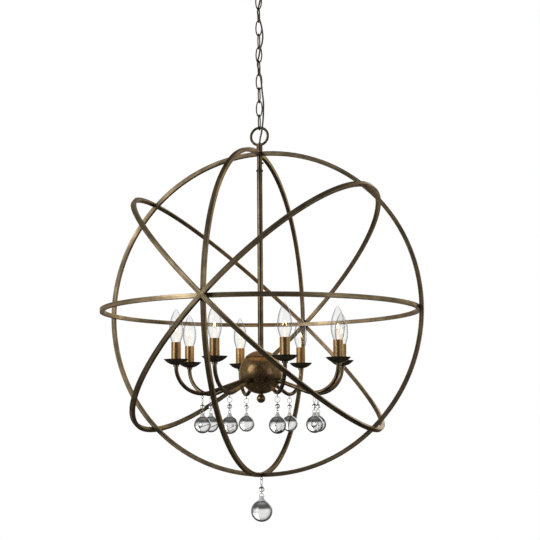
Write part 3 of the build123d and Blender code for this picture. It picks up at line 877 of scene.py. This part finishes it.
def coil_line(foot, side):
    """The points of a coil that bows up between the two leads."""
    across = Vector((-side.y, side.x, 0))
    points = []
    for k in range(coil_points):
        t = k / (coil_points - 1)
        a = 2 * math.pi * coil_turns * t
        bow = math.sin(math.pi * t) * coil_rise
        centre = foot + side * ((t - 0.5) * coil_wide * MM) + Vector((0, 0, (coil_foot + bow) * MM))
        turn = across * math.cos(a) + Vector((0, 0, 1)) * math.sin(a)
        points.append(centre + turn * coil_radius * MM)
    return points


print("coil turns", coil_turns, "points", coil_points)

# %% Eight bulbs
bulb_turn = 0.7
stem_sides, lead_sides, coil_sides, base_sides = 24, 8, 6, 32
for n in arm_numbers:
    low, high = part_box(f"bulb_{n}")
    foot = Vector(((low.x + high.x) / 2, (low.y + high.y) / 2, low.z + base_length))
    body = f"lamp_{n}"
    side = Vector((math.cos(bulb_turn * n), math.sin(bulb_turn * n), 0))
    glass = lathe(f"bulb_glass_{n}", envelope_skin, foot, glass_finish)
    stem = lathe(f"bulb_stem_{n}", stem_skin, foot, stem_finish, stem_sides)
    posts = [wire_run(lead_line(foot, s), lead_wire * MM, lead_sides) for s in (-side, side)]
    mount = joined(f"bulb_leads_{n}", posts, lead_finish)
    coil = wire_run(coil_line(foot, side), coil_wire * MM, coil_sides)
    filament = joined(f"bulb_coil_{n}", [coil], coil_finish)
    base = lathe(f"bulb_base_{n}", base_profile, foot, brass_finish, base_sides)
    for piece in (glass, stem, mount, filament, base):
        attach(piece, body)
    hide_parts(f"bulb_{n}")
print("bulbs", len(arm_numbers))

# %% [markdown]
# ## Glass drops
# Each drop is a clear ball with a frosted neck, hung by two wire rings and a small bead. A solid
# ball turns the room upside down, so its upper part shows the dark ground as a band, and light
# that would reach the eye through its outline comes from far to the side, where it is dark too.
# Both are painted on the near skin by the way it faces, and the band fades towards the crown, so
# that a drop seen from above stays clear.

# %% Drop glass
outline_edge, outline_levels = (0.12, 0.52), (0.78, 0.001)
band_edge, band_levels = (0.12, 0.34), (1.0, 0.012)
crown_edge, crown_levels = (0.55, 0.95), (0.0, 0.28)
crystal_finish, crystal_shader, tap = new_finish("crystal_clear")
outline = ease(tap, rim(tap), *outline_edge, *outline_levels)
inside = tap.make("ShaderNodeNewGeometry", out="Backfacing")
height = along(tap, tap.make("ShaderNodeNewGeometry", out="Normal"), (0, 0, 1))
crown = tap.math("MAXIMUM", ease(tap, height, *crown_edge, *crown_levels), inside)
band = tap.math("MAXIMUM", ease(tap, height, *band_edge, *band_levels), crown)
feed(crystal_shader, Base_Color=grey(tap, outline * band))
put(crystal_shader, Roughness=0.0, IOR=1.52, Transmission_Weight=1.0)

frosts = ((0.50, 0.50, 0.49), (0.72, 0.72, 0.71))
neck_finish = grained("neck_frost", frosts, scale=600, roughness=0.25, Metallic=0.3)
print("finishes", len(bpy.data.materials))

# %% Drop shapes
neck_gap, neck_steps = 0.03 * MM, 8


def ball_profile(radius, sweep=48):
    """A ball about height zero, from its foot up."""
    turns = [math.pi * k / sweep for k in range(sweep + 1)]
    return [(radius * math.sin(a), -radius * math.cos(a)) for a in turns]


def neck_profile(radius, foot, tip, rise):
    """A hollow neck on a ball: down the ball from its top, then up the cone to the tip."""
    shares = [k / neck_steps for k in range(neck_steps + 1)]
    shoulder = math.asin(foot / radius)
    seat = radius + neck_gap
    points = [(seat * math.sin(shoulder * t), seat * math.cos(shoulder * t)) for t in shares]
    start, top = points[-1][1], radius + rise
    points += [(foot + (tip - foot) * t, start + (top - start) * t) for t in shares[1:]]
    return points + [(0.0, top)]


print("ball rows", len(ball_profile(1.0)))

# %% One drop, in millimetres
drop_sizes = {
    "arm": dict(
        wire=1.0, ring=13.0, bead=10.5, lower=10.5, eye=4.6, ball=38.0, neck=(14.0, 5.0, 7.7)
    ),
    "orb": dict(
        wire=1.2, ring=14.0, bead=13.0, lower=12.0, eye=5.0, ball=48.5, neck=(19.0, 6.5, 9.2)
    ),
}
play = 0.1
eye_fineness = (10, 24)
small_sides = 48


def make_drop(kind, node, body, tag, angle):
    """One drop, from its top ring down to its ball, in the box of its CAD node."""
    size = drop_sizes[kind]
    low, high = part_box(node)
    centre = (low + high) / 2
    wire, eye, ball_radius = size["wire"], size["eye"], size["ball"] / 2
    step = wire + play
    ring_z = high.z / MM - size["ring"] / 2
    top_eye = ring_z - (size["ring"] - wire) / 2 + step - (eye - wire) / 2
    bead_z = top_eye - (eye + size["bead"]) / 2
    low_eye = bead_z - (eye + size["bead"]) / 2
    lower_z = low_eye - (eye - wire) / 2 + step - (size["lower"] - wire) / 2
    ball_z = low.z / MM + ball_radius

    def at(z):
        return Vector((centre.x, centre.y, z * MM))

    out = Vector((math.cos(angle), math.sin(angle), 0))
    side = Vector((-out.y, out.x, 0))
    pin = [at(low_eye + eye / 2 - wire / 2), at(bead_z), at(top_eye - eye / 2 + wire / 2)]
    wires = [
        wire_loop(size["ring"] * MM, wire * MM, at(ring_z), out),
        wire_loop(eye * MM, wire * MM, at(top_eye), side, *eye_fineness),
        wire_loop(eye * MM, wire * MM, at(low_eye), out, *eye_fineness),
        wire_loop(size["lower"] * MM, wire * MM, at(lower_z), side),
        wire_run(pin, wire * MM),
    ]
    metal = joined(f"drop_wire_{tag}", wires, silver_finish)
    bead_skin = ball_profile(size["bead"] / 2 * MM)
    bead = lathe(f"drop_bead_{tag}", bead_skin, at(bead_z), crystal_finish, small_sides)
    ball_skin = ball_profile(ball_radius * MM)
    ball = lathe(f"drop_ball_{tag}", ball_skin, at(ball_z), crystal_finish)
    foot, tip, rise = (v * MM for v in size["neck"])
    neck_skin = neck_profile(ball_radius * MM, foot / 2, tip / 2, rise)
    neck = lathe(f"drop_neck_{tag}", neck_skin, at(ball_z), neck_finish, small_sides)
    slots = {metal: "trim_wire", bead: "crystal", ball: "crystal", neck: "crystal"}
    for piece, slot in slots.items():
        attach(piece, body)
    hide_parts(node)


print("kinds of drop", list(drop_sizes))

# %% Nine drops
first_arm, arm_step = math.radians(-57.4), math.pi / 4
for n in arm_numbers:
    angle = first_arm + (n - 1) * arm_step
    make_drop("arm", f"crystal_drop_{n}", f"drop_{n}", str(n), angle)
make_drop("orb", "orb_drop", "drop_under_orb", "orb", 0.0)
print("drops", len(arm_numbers) + 1)

# %% [markdown] ## Measure the visual box
# The dressed model must stay in the CAD model's box.

# %% Sizes
low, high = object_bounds()
print("visual box", [round(v, 3) for v in (*low, *high)])
